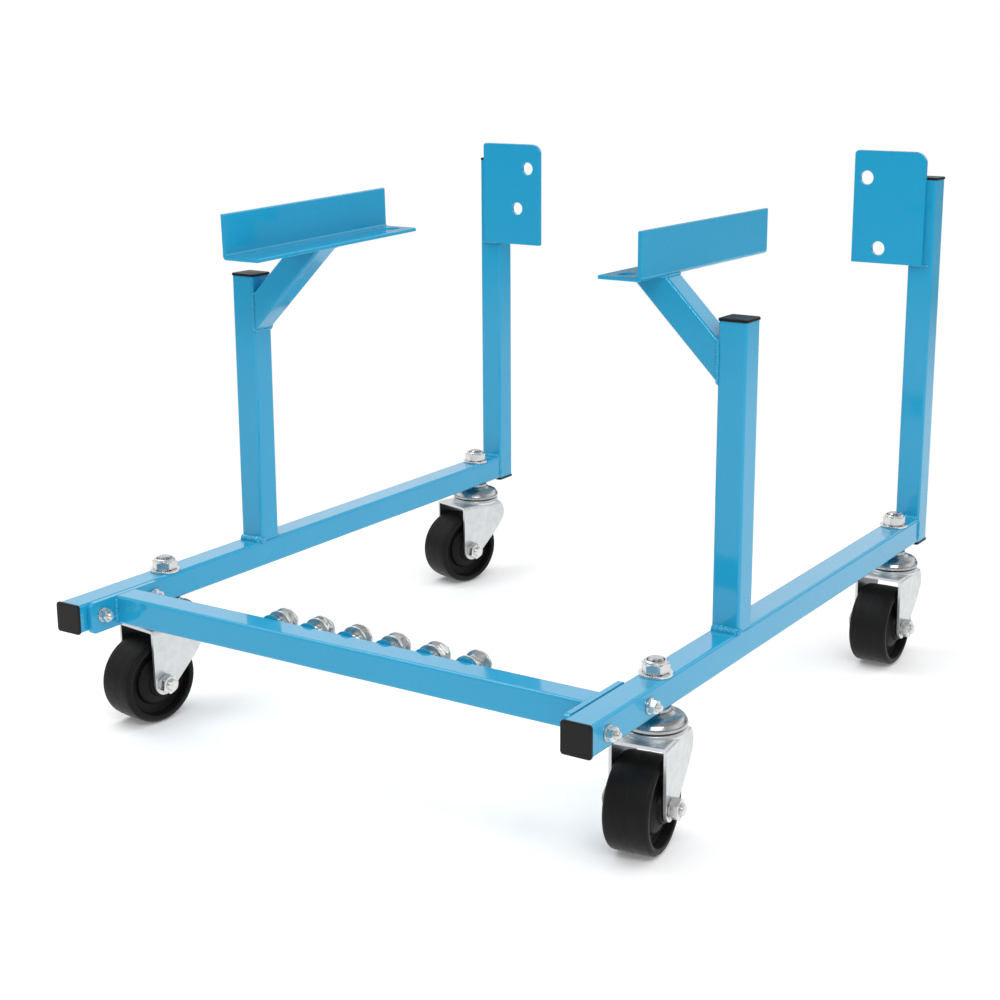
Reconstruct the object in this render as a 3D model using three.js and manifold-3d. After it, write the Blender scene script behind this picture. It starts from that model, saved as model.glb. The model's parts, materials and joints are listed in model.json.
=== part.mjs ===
// Rolling engine stand: two wheeled side frames of square tube joined by a bolt-on
// front cross-beam. Millimetres, +Z up. Origin on the floor at the centre of the overall
// box (on the mid-plane between the side frames, half-way along them); +Y runs from the
// front (cross-beam) to the rear (bell-housing plates), +X is the right-hand rail. The
// members below are laid out from the front ends of the rails and shifted together.
import * as THREE from 'three';
import { mergeVertices } from 'three/addons/utils/BufferGeometryUtils.js';
import Module from 'manifold-3d';

const wasm = await Module();
wasm.setup();

// ---------------------------------------------------------------- driving dimensions
const T = 25.4;              // side of every square tube
const WALL = 2.0;            // tube wall
const TUBE_R = 2.6;          // outside corner radius of the tube
const RAIL_X = 258.5;        // centre-line of each rail from the mid-plane
const RAIL_Z = 111.8;        // underside of the rails above the floor
const RAIL_END = 665.0;      // rear end of the rails = front face of the rear posts
const CAP = 2.5;             // flange thickness of the plastic tube caps
const POST_Y = 254.0;        // centre of the mid posts
const POST_TOP = 400.1;      // top of the mid post caps
const REAR_TOP = 485.8;      // top of the rear post caps
const BRACE_SUM = 609.6;     // 45 degree braces: centre-line height + |x|
const ANG_OUT = 198.0;       // outer face of the upright flange of the mount angles
const ANG_LEG = 40.0;        // leg of the mount angles
const ANG_T = 3.4;           // thickness of the mount angles
const ANG_Z = 429.8;         // underside of the mount angles
const ANG_LEN = 234.6;       // length of the mount angles
const ANG_Y_L = 150.6;       // front end of the left angle
const ANG_Y_R = 198.4;       // front end of the right angle
const ANG_TILT_L = 1.8 * Math.PI / 180;  // the left angle rises toward the rear
const SLOT_IN = 22.5;        // slot centre from the outer face of the angle
const SLOT_END = 17.5;       // slot centre from the slotted end of the angle
const SLOT_L = 18.8, SLOT_W = 12.7;
const PLATE_T = 5.0;         // bell-housing and end plates
const PLATE = { left: [-263.5, 390.5, 75.1, 112.4], right: [187.0, 398.3, 74.8, 112.2] };  // x0, z0, width, height
const CAP_W = 27.0;          // flange of the plastic tube caps, a little over the tube
const BEAM_Y = 53.7;         // centre of the cross-beam
const END_L = 85.4, END_H = 28.2, END_Z = RAIL_Z + T / 2 - 1.2;  // beam end plates
const BEAM_BOLT = [-28.8, 34.2];         // beam bolts in front of and behind the beam centre
const STOW_X0 = 16.3, STOW_PITCH = 40.0; // row of six stowed mounting bolts
const STOW_Z = 128.3;
const STEM_Y = { fl: 120.6, fr: 121.1, rl: 631.3, rr: 627.5 };  // caster stems
const WHEEL_R = 39.8, WHEEL_HW = 19.2, TRAIL = 24.8;
const FORK_IN = 21.4, FORK_T = 2.6;      // fork leg inner face and thickness
const AXLE_R = 5.0;
const YAW = { fl: -97.0, fr: -82.6, rl: -105.99, rr: -89.8 }; // trail heading of each caster

// ---------------------------------------------------------------- materials
const mat = (color, metalness, roughness) => new THREE.MeshStandardMaterial({ color, metalness, roughness });
const BLUE = () => mat(0x3f9bc8, 0.0, 0.28);
const BLACK = () => mat(0x17171a, 0.0, 0.55);
const ZINC = () => mat(0xc4c6c2, 1.0, 0.28);
const FORKZ = () => mat(0xb7bdc0, 0.9, 0.42);
const WHEEL = () => mat(0x1c1c1e, 0.0, 0.6);
const BUSH = () => mat(0x8d8f8e, 1.0, 0.4);

// ---------------------------------------------------------------- helpers
function clean(geo) {
  let g = geo.clone();
  g.deleteAttribute('normal');
  g.deleteAttribute('uv');
  g = mergeVertices(g, 1e-4);
  const src = g.index.array, out = [];
  for (let i = 0; i < src.length; i += 3) {
    const a = src[i], b = src[i + 1], c = src[i + 2];
    if (a !== b && b !== c && a !== c) out.push(a, b, c);
  }
  g.setIndex(out);
  return g;
}
function solid(geo) {
  const g = clean(geo);
  return new wasm.Manifold(new wasm.Mesh({
    numProp: 3,
    vertProperties: new Float32Array(g.attributes.position.array),
    triVerts: new Uint32Array(g.index.array),
  }));
}
function geometry(man) {
  const m = man.getMesh();
  const g = new THREE.BufferGeometry();
  const n = m.numProp, v = m.vertProperties, pos = new Float32Array((v.length / n) * 3);
  for (let i = 0; i < v.length / n; i++) for (let k = 0; k < 3; k++) pos[3 * i + k] = v[n * i + k];
  g.setAttribute('position', new THREE.BufferAttribute(pos, 3));
  g.setIndex(new THREE.BufferAttribute(new Uint32Array(m.triVerts), 1));
  return g;
}
const group = new THREE.Group();
group.name = 'engine_stand';
function node(name, geo, material) {
  const g = geo.isBufferGeometry ? clean(geo) : geometry(geo);
  g.translate(0, -(RAIL_END + (T + CAP_W) / 2) / 2, 0);
  g.computeVertexNormals();
  const mesh = new THREE.Mesh(g, material);
  mesh.name = name;
  group.add(mesh);
}
const box = (x0, x1, y0, y1, z0, z1) =>
  new THREE.BoxGeometry(x1 - x0, y1 - y0, z1 - z0).translate((x0 + x1) / 2, (y0 + y1) / 2, (z0 + z1) / 2);
// cylinder between two points on one axis
function rod(axis, a, b, r, at, seg = 16, turn = 0) {
  const g = new THREE.CylinderGeometry(r, r, Math.abs(b - a), seg);
  g.rotateY(turn);
  if (axis === 'x') g.rotateZ(-Math.PI / 2).translate((a + b) / 2, at[0], at[1]);
  if (axis === 'y') g.translate(0, (a + b) / 2, 0).translate(at[0], 0, at[1]);
  if (axis === 'z') g.rotateX(Math.PI / 2).translate(at[0], at[1], (a + b) / 2);
  return g;
}
const hexR = (af) => af / Math.sqrt(3);
function roundRect(w, h, r, seg) {
  // rounded rectangle outline, counter-clockwise, centred; r = [tr, tl, bl, br]
  const s = new THREE.Shape(), R = Array.isArray(r) ? r : [r, r, r, r];
  const c = [[w / 2, h / 2, 0], [-w / 2, h / 2, 1], [-w / 2, -h / 2, 2], [w / 2, -h / 2, 3]];
  const pts = [];
  c.forEach(([x, y, q], i) => {
    const rr = R[i];
    if (rr < 1e-6) { pts.push([x, y]); return; }
    const cx = x - Math.sign(x) * rr, cy = y - Math.sign(y) * rr;
    for (let k = 0; k <= seg; k++) {
      const a = q * Math.PI / 2 + (k / seg) * Math.PI / 2;
      pts.push([cx + rr * Math.cos(a), cy + rr * Math.sin(a)]);
    }
  });
  pts.forEach(([x, y], i) => (i ? s.lineTo(x, y) : s.moveTo(x, y)));
  s.closePath();
  return s;
}
const flat = (shape, depth) => new THREE.ExtrudeGeometry(shape, { depth, bevelEnabled: false, curveSegments: 1 });
// square tube along +Z from z=0
function tube(len) {
  const s = roundRect(T, T, TUBE_R, 2);
  s.holes.push(new THREE.Path(roundRect(T - 2 * WALL, T - 2 * WALL, 0, 1).getPoints(1).reverse()));
  return flat(s, len);
}
const alongY = (g) => g.rotateX(-Math.PI / 2);   // +Z -> +Y, +Y -> -Z
const alongX = (g) => g.rotateY(Math.PI / 2);    // +Z -> +X, +X -> -Z
// closed solid of revolution about +Z from [radius, height] pairs
function turned(pts, seg, turn = 0) {
  return new THREE.LatheGeometry(pts.map(([r, z]) => new THREE.Vector2(r, z)), seg).rotateX(Math.PI / 2).rotateZ(turn);
}

// ---------------------------------------------------------------- side frames
// plastic plug: bevelled flange at z = 0..CAP (outside up), hollow skirt below
function cap(flush = false) {
  const h = CAP_W / 2, k = h - 0.9;
  const flange = new THREE.CylinderGeometry(k * Math.SQRT2, h * Math.SQRT2, 0.9, 4, 1).rotateY(Math.PI / 4)
    .rotateX(Math.PI / 2).translate(0, 0, CAP - 0.45);
  const body = flat(roundRect(CAP_W, CAP_W, 0.0, 1), CAP - 0.9);
  const skirt = solid(flat(roundRect(20.6, 20.6, 0, 1), 9).translate(0, 0, -9))
    .subtract(solid(box(-8.4, 8.4, -8.4, 8.4, -10, -0.5)));
  const c = solid(flange).add(solid(body)).add(skirt);
  // the rear top caps are trimmed flush where the bell-housing plate passes
  return flush ? c.intersect(solid(box(-20, 20, -T / 2, 20, -20, 20))) : c;
}
for (const [side, sx] of [['left', -1], ['right', 1]]) {
  const X = sx * RAIL_X;
  // lower rail with the caster stem holes and the beam bolt holes
  let rail = solid(alongY(tube(RAIL_END - CAP)).translate(X, CAP, RAIL_Z + T / 2));
  for (const y of sx < 0 ? [STEM_Y.fl, STEM_Y.rl] : [STEM_Y.fr, STEM_Y.rr]) rail = rail.subtract(solid(rod('z', RAIL_Z - 5, RAIL_Z + T + 5, 7.3, [X, y], 12)));
  for (const d of BEAM_BOLT) rail = rail.subtract(solid(rod('x', X - T, X + T, 3.4, [BEAM_Y + d, RAIL_Z + T / 2], 8)));
  node(`rail_${side}`, rail, BLUE());
  // mid post on the rail
  node(`mid_post_${side}`, solid(tube(POST_TOP - CAP - RAIL_Z - T).translate(X, POST_Y, RAIL_Z + T)), BLUE());
  // rear post, its foot level with the underside of the rail
  node(`rear_post_${side}`, solid(tube(REAR_TOP - CAP - RAIL_Z).translate(X, RAIL_END + T / 2, RAIL_Z)), BLUE());
  // mount angle: L section with a small inside fillet, one slot near one end
  const sec = new THREE.Shape();
  const a0 = 3.2, L = ANG_LEG, t = ANG_T;
  sec.moveTo(L, 0); sec.lineTo(L, t); sec.lineTo(t + 1.8, t); sec.lineTo(t + 0.5, t + 0.5); sec.lineTo(t, t + 1.8);
  sec.lineTo(t, L + 0.7); sec.lineTo(0, L + 0.7); sec.lineTo(0, a0); sec.lineTo(a0 * 0.29, a0 * 0.29); sec.lineTo(a0, 0); sec.closePath();
  const slot = new THREE.Shape();
  const hs = (SLOT_L - SLOT_W) / 2, rs = SLOT_W / 2;
  for (let k = 0; k <= 16; k++) {
    const a = -Math.PI / 2 + (k % 9 === 8 && k < 9 ? 8 : k) * Math.PI / 8;
    const cx = k <= 8 ? hs : -hs;
    const px = cx + rs * Math.cos(k <= 8 ? a : a), py = rs * Math.sin(a);
    if (k === 0) slot.moveTo(px, py); else slot.lineTo(px, py);
  }
  slot.lineTo(-hs, -rs); slot.closePath();
  let ang = solid(new THREE.ExtrudeGeometry(sec, { depth: ANG_LEN, bevelEnabled: false }).rotateX(Math.PI / 2).translate(0, ANG_LEN, 0));
  ang = ang.subtract(solid(flat(slot, 12).translate(SLOT_IN, ANG_LEN - SLOT_END, -4)));
  // the section runs inward from the outer face: left as built, right turned half round
  const tilt = side === 'left' ? ANG_TILT_L : 0;
  const y0 = side === 'left' ? ANG_Y_L : ANG_Y_R;
  const yc = y0 + ANG_LEN / 2;
  const m = new THREE.Matrix4().makeTranslation(-ANG_OUT, yc, ANG_Z)
    .multiply(new THREE.Matrix4().makeRotationX(tilt)).multiply(new THREE.Matrix4().makeTranslation(0, -ANG_LEN / 2, 0));
  let g = geometry(ang);
  if (side === 'right') g.applyMatrix4(new THREE.Matrix4().makeRotationZ(Math.PI)).translate(ANG_OUT, y0 + ANG_LEN, ANG_Z);
  else g.applyMatrix4(m);
  node(`mount_angle_${side}`, g, BLUE());
  // brace at 45 degrees from the inner face of the mid post up to the angle
  const len = 150, k = Math.SQRT1_2;
  let br = solid(tube(len).translate(0, 0, -len / 2).rotateY(-sx * Math.PI / 4)
    .translate(sx * 210, POST_Y, BRACE_SUM - 210));
  const inner = RAIL_X - T / 2 - 0.05;
  br = br.subtract(solid(sx > 0 ? box(inner, 400, 100, 400, 200, 600) : box(-400, -inner, 100, 400, 200, 600)));
  const top = new THREE.BoxGeometry(400, 800, 200).translate(0, 0, 100 - 0.3).applyMatrix4(
    new THREE.Matrix4().makeTranslation(sx * 200, yc, ANG_Z).multiply(new THREE.Matrix4().makeRotationX(tilt)));
  br = br.subtract(solid(top));
  node(`brace_${side}`, br, BLUE());
  // bell-housing plate on the front face of the rear post
  const left = side === 'left';
  const [px0, pz0, pw, ph] = PLATE[side];
  const pl = roundRect(pw, ph, left ? [10, 3.5, 0, 0] : [11, 4, 0, 0], 3);
  let plate = solid(flat(pl, PLATE_T).rotateX(Math.PI / 2).translate(px0 + pw / 2, RAIL_END, pz0 + ph / 2));
  const holes = left ? [[-204.6, 476.0], [-218.4, 430.9]] : [[200.3, 483.5], [215.2, 413.4]];
  for (const h of holes) plate = plate.subtract(solid(rod('y', RAIL_END - 12, RAIL_END + 3, 7.0, h, 14)));
  node(`bell_plate_${side}`, plate, BLUE());
  // plastic caps
  node(`cap_rail_${side}`, geometry(cap()).rotateX(Math.PI / 2).translate(X, CAP, RAIL_Z + T / 2), BLACK());
  node(`cap_mid_post_${side}`, geometry(cap()).translate(X, POST_Y, POST_TOP - CAP), BLACK());
  node(`cap_rear_top_${side}`, geometry(cap(true)).translate(X, RAIL_END + T / 2, REAR_TOP - CAP), BLACK());
  node(`cap_rear_foot_${side}`, geometry(cap()).rotateX(Math.PI).translate(X, RAIL_END + T / 2, RAIL_Z), BLACK());
}

// ---------------------------------------------------------------- front cross-beam
const EP_IN = RAIL_X - T / 2 - PLATE_T;
const stowX = [0, 1, 2, 3, 4, 5].map((i) => STOW_X0 + (i - 2.5) * STOW_PITCH);
{
  let beam = solid(alongX(tube(2 * EP_IN)).translate(-EP_IN, BEAM_Y, RAIL_Z + T / 2));
  const yb = BEAM_Y + T / 2;
  for (const x of stowX) {
    beam = beam.add(solid(rod('y', yb - 1.0, yb + 1.8, 10.7, [x, STOW_Z], 12)).intersect(solid(box(-300, 300, yb - 1.0, yb + 20, RAIL_Z + 2.4, 200))));
  }
  for (const x of stowX) beam = beam.subtract(solid(rod('y', yb - 6, yb + 12, 6.25, [x, STOW_Z], 8)));
  node('cross_beam', beam, BLUE());
}
for (const [side, sx] of [['left', -1], ['right', 1]]) {
  let p = solid(alongX(flat(roundRect(END_H, END_L, 5, 2), PLATE_T)).translate(sx > 0 ? EP_IN : -EP_IN - PLATE_T, BEAM_Y, END_Z));
  for (const d of BEAM_BOLT) p = p.subtract(solid(rod('x', sx * EP_IN - 12, sx * EP_IN + 12, 3.4, [BEAM_Y + d, RAIL_Z + T / 2], 8)));
  node(`beam_end_plate_${side}`, p, BLUE());
  // through bolts, all driven toward +X: head, washer, shank, washer, nut, thread end
  for (const [w, d] of [['front', 0], ['rear', 1]]) {
    const c = [BEAM_Y + BEAM_BOLT[d], RAIL_Z + T / 2];
    const xa = sx > 0 ? EP_IN : -RAIL_X - T / 2, xb = sx > 0 ? RAIL_X + T / 2 : -EP_IN;
    let b = solid(rod('x', xa - 5.6, xb + 11.0, 3.0, c, 8));
    b = b.add(solid(rod('x', xa - 5.6, xa - 1.6, hexR(10.2), c, 6, 0.25)));
    b = b.add(solid(rod('x', xa - 1.65, xa - 0.05, 6.5, c, 12)));
    b = b.add(solid(rod('x', xb + 0.05, xb + 1.65, 6.5, c, 12)));
    b = b.add(solid(rod('x', xb + 1.6, xb + 7.2, hexR(10.2), c, 6, 0.1 + 0.6 * d)));
    node(`beam_bolt_${side}_${w}`, b, ZINC());
  }
}
// six stowed mounting bolts: loose washer, jam nut, washer and head on one shank
const stowW = [8.9, 10.6, 10.6, 8.4, 7.4, 1.95];
stowX.forEach((x, i) => {
  const y = BEAM_Y + T / 2, c = [x, STOW_Z], tw = 0.35 * i, w = y + stowW[i];
  let b = solid(rod('y', y - 13.8, y + 24.6, 6.0, c, 8));
  b = b.add(solid(rod('y', w, w + 2.0, 12.7, c, 16)));
  b = b.add(solid(rod('y', y + 12.7, y + 17.7, hexR(18), c, 6, tw)));
  b = b.add(solid(rod('y', y + 17.6, y + 19.4, 12.9, c, 16)));
  b = b.add(solid(rod('y', y + 19.3, y + 24.9, hexR(18), c, 6, tw + 0.4)));
  node(`stowed_bolt_${i + 1}`, b, ZINC());
});

// ---------------------------------------------------------------- casters
const AX_Z = WHEEL_R;
for (const [k, sx] of [['fl', -1], ['fr', 1], ['rl', -1], ['rr', 1]]) {
  const cx = sx * RAIL_X, cy = STEM_Y[k], th = YAW[k] * Math.PI / 180;
  // local frame: +X = trail direction, +Y = across (axle), +Z = up from the floor
  const place = new THREE.Matrix4().makeTranslation(cx, cy, 0).multiply(new THREE.Matrix4().makeRotationZ(th));
  const Z0 = RAIL_Z;
  // raceway cup, stem and riveted king pin, fixed to the rail
  const cup = turned([[0, Z0 - 25.8], [9.6, Z0 - 25.8], [9.6, Z0 - 22.9], [7.2, Z0 - 22.9], [7.2, Z0 - 15.2], [26.2, Z0 - 15.2], [25.6, Z0 - 11.2],
    [21.6, Z0 - 6.6], [12.8, Z0 - 2.7], [12.8, Z0 - 0.1], [6.7, Z0 - 0.1], [6.7, Z0 + 37.6], [5.6, Z0 + 38.8], [0, Z0 + 38.8]], 16);
  node(`caster_${k}_stem`, cup.translate(cx, cy, 0), ZINC());
  // washer and nut on top of the rail
  let nut = solid(rod('z', Z0 + T + 0.05, Z0 + T + 2.2, 13.2, [0, 0], 16));
  nut = nut.add(solid(rod('z', Z0 + T + 2.1, Z0 + T + 10.2, hexR(20.8), [0, 0], 6, 0.3)));
  nut = nut.add(solid(new THREE.CylinderGeometry(10.0, hexR(20.8), 1.2, 6).rotateY(0.3).rotateX(Math.PI / 2).translate(0, 0, Z0 + T + 10.8)));
  nut = nut.subtract(solid(rod('z', Z0 + T - 3, Z0 + T + 20, 7.0, [0, 0], 12)));
  node(`caster_${k}_nut`, geometry(nut).translate(cx, cy, 0), ZINC());
  // fork: top plate, lower race ring and two tapering legs
  const tp = new THREE.Shape();
  const W = FORK_IN + FORK_T;
  for (let i = 0; i <= 8; i++) {
    const a = Math.PI / 2 + (i / 8) * Math.PI;
    const x = 25.4 * Math.cos(a) - 0.6, y = W * Math.sin(a);
    if (i) tp.lineTo(x, y); else tp.moveTo(x, y);
  }
  tp.lineTo(TRAIL + 9.1, -W); tp.lineTo(TRAIL + 12.2, -W + 3.4); tp.lineTo(TRAIL + 12.2, W - 3.4); tp.lineTo(TRAIL + 9.1, W); tp.closePath();
  let fork = solid(flat(tp, 3.0).translate(0, 0, Z0 - 22.4));
  fork = fork.add(solid(turned([[0, Z0 - 19.5], [26.0, Z0 - 19.5], [26.0, Z0 - 17.4], [25.2, Z0 - 15.7], [0, Z0 - 15.7]], 16)));
  const leg = new THREE.Shape();
  const pts = [[TRAIL + 10.2, -19.6], [TRAIL + 12.0, -21.0], [TRAIL + 11.3, AX_Z - Z0]];
  for (let i = 1; i <= 6; i++) {
    const a = -(i / 6) * (Math.PI - 0.78);
    pts.push([TRAIL + 11.3 * Math.cos(a), AX_Z - Z0 + 11.3 * Math.sin(a)]);
  }
  pts.push([-4.9, -59.8], [-15.6, -48.6], [-20.6, -42.6], [-23.0, -36.6], [-22.6, -30.0], [-20.6, -25.0], [-17.0, -21.4], [-12.5, -19.6]);
  pts.forEach(([x, y], i) => (i ? leg.lineTo(x, y) : leg.moveTo(x, y)));
  leg.closePath();
  for (const s of [-1, 1]) {
    const lg = flat(leg, FORK_T).rotateX(Math.PI / 2).translate(0, s > 0 ? W : -FORK_IN, Z0);
    fork = fork.add(solid(lg));
  }
  fork = fork.subtract(solid(rod('z', Z0 - 30, Z0 - 10, 7.8, [0, 0], 12)));
  fork = fork.subtract(solid(rod('y', -40, 40, AXLE_R + 0.4, [TRAIL, AX_Z], 8)));
  node(`caster_${k}_fork`, geometry(fork).applyMatrix4(place), FORKZ());
  // axle bolt: head, shank and nut outside the legs
  let ax = solid(rod('y', -W - 7.0, W + 11.5, AXLE_R, [TRAIL, AX_Z], 8));
  ax = ax.add(solid(rod('y', -W - 7.0, -W - 0.25, hexR(16), [TRAIL, AX_Z], 6, 0.2)));
  ax = ax.add(solid(rod('y', W + 0.25, W + 8.6, hexR(16), [TRAIL, AX_Z], 6, 0.45)));
  node(`caster_${k}_axle`, geometry(ax).applyMatrix4(place), ZINC());
  // bearing sleeve clamped between the legs
  const sl = turned([[AXLE_R + 0.4, -FORK_IN + 0.25], [7.6, -FORK_IN + 0.25], [7.6, FORK_IN - 0.25], [AXLE_R + 0.4, FORK_IN - 0.25], [AXLE_R + 0.4, -FORK_IN + 0.25]], 12);
  node(`caster_${k}_sleeve`, sl.rotateX(-Math.PI / 2).translate(TRAIL, 0, AX_Z).applyMatrix4(place), BUSH());
  // solid wheel: crowned tread, recessed web and raised hub
  const R = WHEEL_R, H = WHEEL_HW;
  const wp = [[8.2, -20.4], [14.0, -20.4], [22.0, -11.0], [31.8, -11.0], [33.0, -H + 0.6], [R - 2.8, -H], [R, -H + 5.0],
    [R, H - 5.0], [R - 2.8, H], [33.0, H - 0.6], [31.8, 11.0], [22.0, 11.0], [14.0, 20.4], [8.2, 20.4], [8.2, -20.4]];
  node(`caster_${k}_wheel`, turned(wp, 28).rotateX(-Math.PI / 2).translate(TRAIL, 0, AX_Z).applyMatrix4(place), WHEEL());
}

export default group;
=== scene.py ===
import bpy, bmesh, math, json
import numpy as np
from mathutils import Matrix, Vector
from mathutils.geometry import tessellate_polygon


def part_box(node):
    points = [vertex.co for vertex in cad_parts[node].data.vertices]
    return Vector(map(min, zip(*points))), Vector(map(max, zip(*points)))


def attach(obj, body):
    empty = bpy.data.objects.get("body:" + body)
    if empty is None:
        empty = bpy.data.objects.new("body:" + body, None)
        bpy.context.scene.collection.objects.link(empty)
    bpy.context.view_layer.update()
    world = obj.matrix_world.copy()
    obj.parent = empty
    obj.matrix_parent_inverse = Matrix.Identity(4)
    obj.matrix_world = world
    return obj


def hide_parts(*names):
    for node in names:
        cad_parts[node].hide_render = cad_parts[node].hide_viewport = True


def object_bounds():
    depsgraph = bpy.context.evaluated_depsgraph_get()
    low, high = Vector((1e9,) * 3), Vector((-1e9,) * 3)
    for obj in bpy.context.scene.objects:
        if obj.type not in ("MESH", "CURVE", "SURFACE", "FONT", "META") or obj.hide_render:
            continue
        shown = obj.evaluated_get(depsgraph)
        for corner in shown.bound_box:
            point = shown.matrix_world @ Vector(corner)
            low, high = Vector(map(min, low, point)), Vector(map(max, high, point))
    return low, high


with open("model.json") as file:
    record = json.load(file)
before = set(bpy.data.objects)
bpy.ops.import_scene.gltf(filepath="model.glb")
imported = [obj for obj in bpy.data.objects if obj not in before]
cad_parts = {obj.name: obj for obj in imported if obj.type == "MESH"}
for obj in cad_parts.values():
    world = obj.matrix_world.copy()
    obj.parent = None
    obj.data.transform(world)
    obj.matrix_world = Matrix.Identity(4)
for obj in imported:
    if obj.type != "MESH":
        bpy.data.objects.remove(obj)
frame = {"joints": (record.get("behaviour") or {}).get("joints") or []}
CAD_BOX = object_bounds()
S = 0.001          # drawing is in mm, the scene in metres
PI = math.pi


def mmbox(node):
    lo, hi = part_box(node)
    return np.array(lo) * 1000, np.array(hi) * 1000


# ------------------------------------------------------------------ places, from the frame
railR = mmbox("rail_right")
postR = mmbox("mid_post_right")
rearR = mmbox("rear_post_right")
T = postR[1][0] - postR[0][0]
RAIL_X = (railR[0][0] + railR[1][0]) / 2
RAIL_Z = railR[0][2]
RAIL_END = railR[1][1]
CAP, CAP_W = 2.5, 27.0
POST_Y = (postR[0][1] + postR[1][1]) / 2
POST_TOP = mmbox("cap_mid_post_right")[1][2]
REAR_TOP = mmbox("cap_rear_top_right")[1][2]
REAR_Y = (rearR[0][1] + rearR[1][1]) / 2
WALL, TUBE_R = 2.0, 2.6
angR = mmbox("mount_angle_right")
ANG_OUT, ANG_Z, ANG_LEG, ANG_T = angR[1][0], angR[0][2], 40.0, 3.4
ANG_LEN = angR[1][1] - angR[0][1]
ANG_TILT = math.radians(1.8)
angL = mmbox("mount_angle_left")
ANG_YC = {"left": (angL[0][1] + angL[1][1]) / 2, "right": (angR[0][1] + angR[1][1]) / 2}
SLOT_IN, SLOT_END, SLOT_L, SLOT_W = 22.5, 17.5, 18.8, 12.7
BRACE_SUM = ANG_Z + 179.8
epR = mmbox("beam_end_plate_right")
BEAM_Y = (epR[0][1] + epR[1][1]) / 2
EP_IN, PLATE_T = epR[0][0], epR[1][0] - epR[0][0]
BEAM_BOLT = {"front": -28.8, "rear": 34.2}
END_Z = (epR[0][2] + epR[1][2]) / 2
BEAM_Z = RAIL_Z + T / 2
stow = [mmbox("stowed_bolt_%d" % i) for i in range(1, 7)]
STOW_X = [(b[0][0] + b[1][0]) / 2 for b in stow]
STOW_Z = (stow[0][0][2] + stow[0][1][2]) / 2
joints = {j["name"]: j for j in frame["joints"]}
AX_Z = joints["roll_fl"]["pos_m"][2] * 1000
WHEEL_R = AX_Z

# ------------------------------------------------------------------ mesh helpers


class Shape:
    def __init__(self, part=None, M=None):
        self.v = np.zeros((0, 3))
        self.f = []
        if part is not None:
            self.add(part, M)

    def add(self, part, M=None):
        v, f = (part.v, part.f) if isinstance(part, Shape) else part
        v = np.asarray(v, float).reshape(-1, 3)
        if M is not None:
            A = np.array(M)
            v = v @ A[:3, :3].T + A[:3, 3]
        o = len(self.v)
        self.v = np.vstack([self.v, v])
        self.f += [tuple(int(i) + o for i in q) for q in f]
        return self


def mesh_of(shape, name, angle=32.0):
    me = bpy.data.meshes.new(name)
    me.from_pydata((shape.v * S).tolist(), [], shape.f)
    me.validate()
    bm = bmesh.new()
    bm.from_mesh(me)
    bmesh.ops.recalc_face_normals(bm, faces=bm.faces)
    bm.to_mesh(me)
    bm.free()
    smooth(me, angle)
    return me


def smooth(me, angle=32.0):
    me.shade_smooth()
    me.set_sharp_from_angle(angle=math.radians(angle))


def fillet(pts, radii, n=5, closed=True):
    out, N = [], len(pts)
    R = list(radii) if hasattr(radii, "__len__") else [radii] * N
    for i in range(N):
        p = np.array(pts[i], float)
        if (not closed and i in (0, N - 1)) or R[i] <= 1e-6:
            out.append(p)
            continue
        a = np.array(pts[i - 1], float) - p
        b = np.array(pts[(i + 1) % N], float) - p
        la, lb = np.linalg.norm(a), np.linalg.norm(b)
        a, b = a / la, b / lb
        ang = math.acos(max(-1, min(1, float(a @ b))))
        if ang > PI - 1e-3:
            out.append(p)
            continue
        t = min(R[i] / math.tan(ang / 2), 0.48 * la, 0.48 * lb)
        r = t * math.tan(ang / 2)
        c = p + (a + b) / np.linalg.norm(a + b) * (r / math.sin(ang / 2))
        p0, p1 = p + a * t, p + b * t
        a0 = math.atan2(*(p0 - c)[::-1])
        a1 = math.atan2(*(p1 - c)[::-1])
        d = (a1 - a0 + PI) % (2 * PI) - PI
        out += [c + r * np.array([math.cos(a0 + d * k / n), math.sin(a0 + d * k / n)]) for k in range(n + 1)]
    return [np.array(q) for q in out]


def rect(w, h, r=0, n=6, cx=0, cy=0):
    """Counter-clockwise rounded rectangle; radii in the order right-top, left-top, left-bottom, right-bottom."""
    R = r if hasattr(r, "__len__") else [r] * 4
    p = [(cx + w / 2, cy + h / 2), (cx - w / 2, cy + h / 2), (cx - w / 2, cy - h / 2), (cx + w / 2, cy - h / 2)]
    return fillet(p, R, n)


def circle(r, n=48, cx=0, cy=0):
    return [np.array([cx + r * math.cos(2 * PI * k / n), cy + r * math.sin(2 * PI * k / n)]) for k in range(n)]


def inset(loop, d):
    P = np.array(loop)
    e = np.roll(P, -1, 0) - P
    e /= np.maximum(np.linalg.norm(e, axis=1)[:, None], 1e-9)
    nrm = np.stack([-e[:, 1], e[:, 0]], 1)
    m = nrm + np.roll(nrm, 1, 0)
    m /= np.maximum(np.linalg.norm(m, axis=1)[:, None], 1e-9)
    c = np.maximum((m * nrm).sum(1), 0.5)
    return P + m * (d / c)[:, None]


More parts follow.
